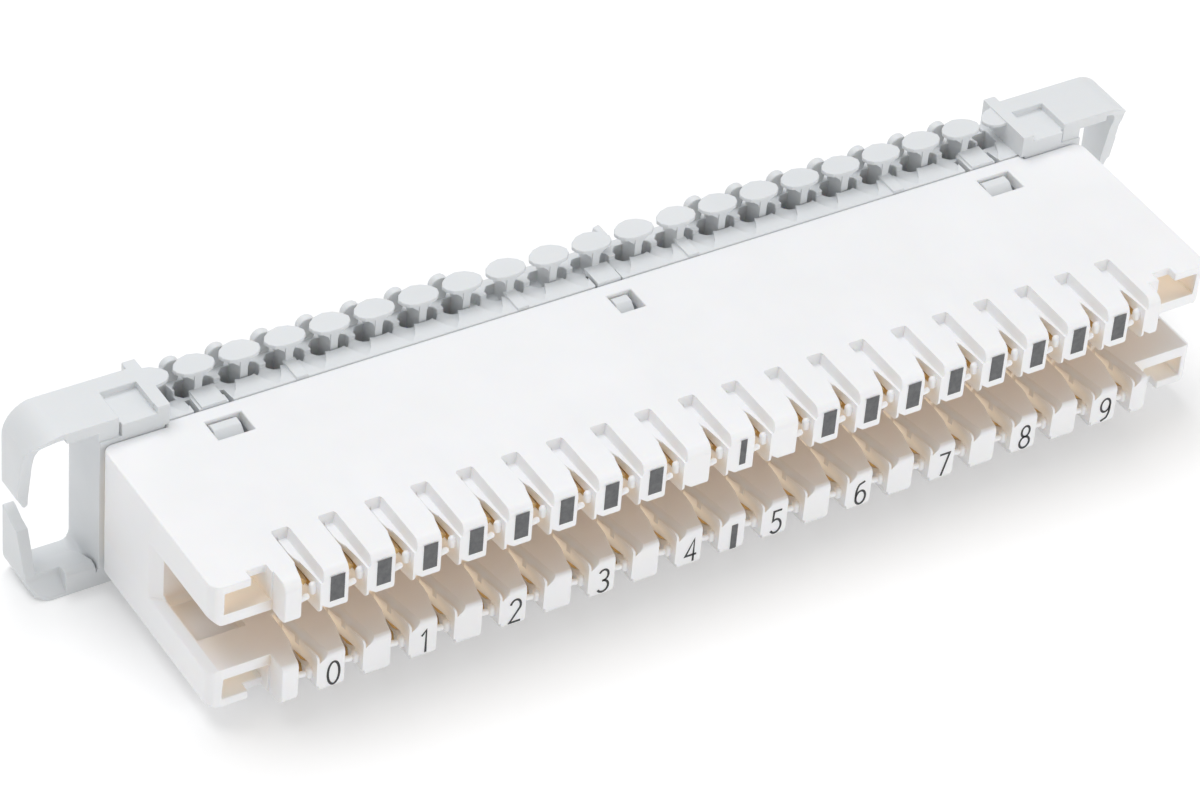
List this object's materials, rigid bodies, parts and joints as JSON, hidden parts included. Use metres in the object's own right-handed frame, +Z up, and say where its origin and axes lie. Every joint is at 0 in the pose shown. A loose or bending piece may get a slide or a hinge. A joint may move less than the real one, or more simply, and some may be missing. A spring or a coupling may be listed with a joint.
{
  "type": "punch down wiring block",
  "caption": "Telephone wiring block with two rows of insulation-displacement slots, a central disconnect groove and a rear base with wire guides and open ears.",
  "frame": {"origin": "middle of the length and depth, at the underside of the two end ribs", "axes": "+X along the rows of slots, -Y towards the toothed front, +Y towards the rear wire guides, +Z up through the thickness"},
  "size_m": [0.124, 0.0322, 0.0197],
  "materials": {
    "housing_plastic": "fine satin moulding, warm white in the slots",
    "base_plastic": "pale bluish grey satin moulding",
    "contact_metal": "bright stamped sheet"
  },
  "bodies": {
    "root": {"front_housing": "housing_plastic", "rear_base": "base_plastic", "contact_upper_01": "contact_metal", "contact_upper_02": "contact_metal", "contact_upper_03": "contact_metal", "contact_upper_04": "contact_metal", "contact_upper_05": "contact_metal", "contact_upper_06": "contact_metal", "contact_upper_07": "contact_metal", "contact_upper_08": "contact_metal", "contact_upper_09": "contact_metal", "contact_upper_10": "contact_metal", "contact_upper_11": "contact_metal", "contact_upper_12": "contact_metal", "contact_upper_13": "contact_metal", "contact_upper_14": "contact_metal", "contact_upper_15": "contact_metal", "contact_upper_16": "contact_metal", "contact_upper_17": "contact_metal", "contact_upper_18": "contact_metal", "contact_upper_19": "contact_metal", "contact_upper_20": "contact_metal", "contact_lower_01": "contact_metal", "contact_lower_02": "contact_metal", "contact_lower_03": "contact_metal", "contact_lower_04": "contact_metal", "contact_lower_05": "contact_metal", "contact_lower_06": "contact_metal", "contact_lower_07": "contact_metal", "contact_lower_08": "contact_metal", "contact_lower_09": "contact_metal", "contact_lower_10": "contact_metal", "contact_lower_11": "contact_metal", "contact_lower_12": "contact_metal", "contact_lower_13": "contact_metal", "contact_lower_14": "contact_metal", "contact_lower_15": "contact_metal", "contact_lower_16": "contact_metal", "contact_lower_17": "contact_metal", "contact_lower_18": "contact_metal", "contact_lower_19": "contact_metal", "contact_lower_20": "contact_metal"}
  },
  "joints": []
}
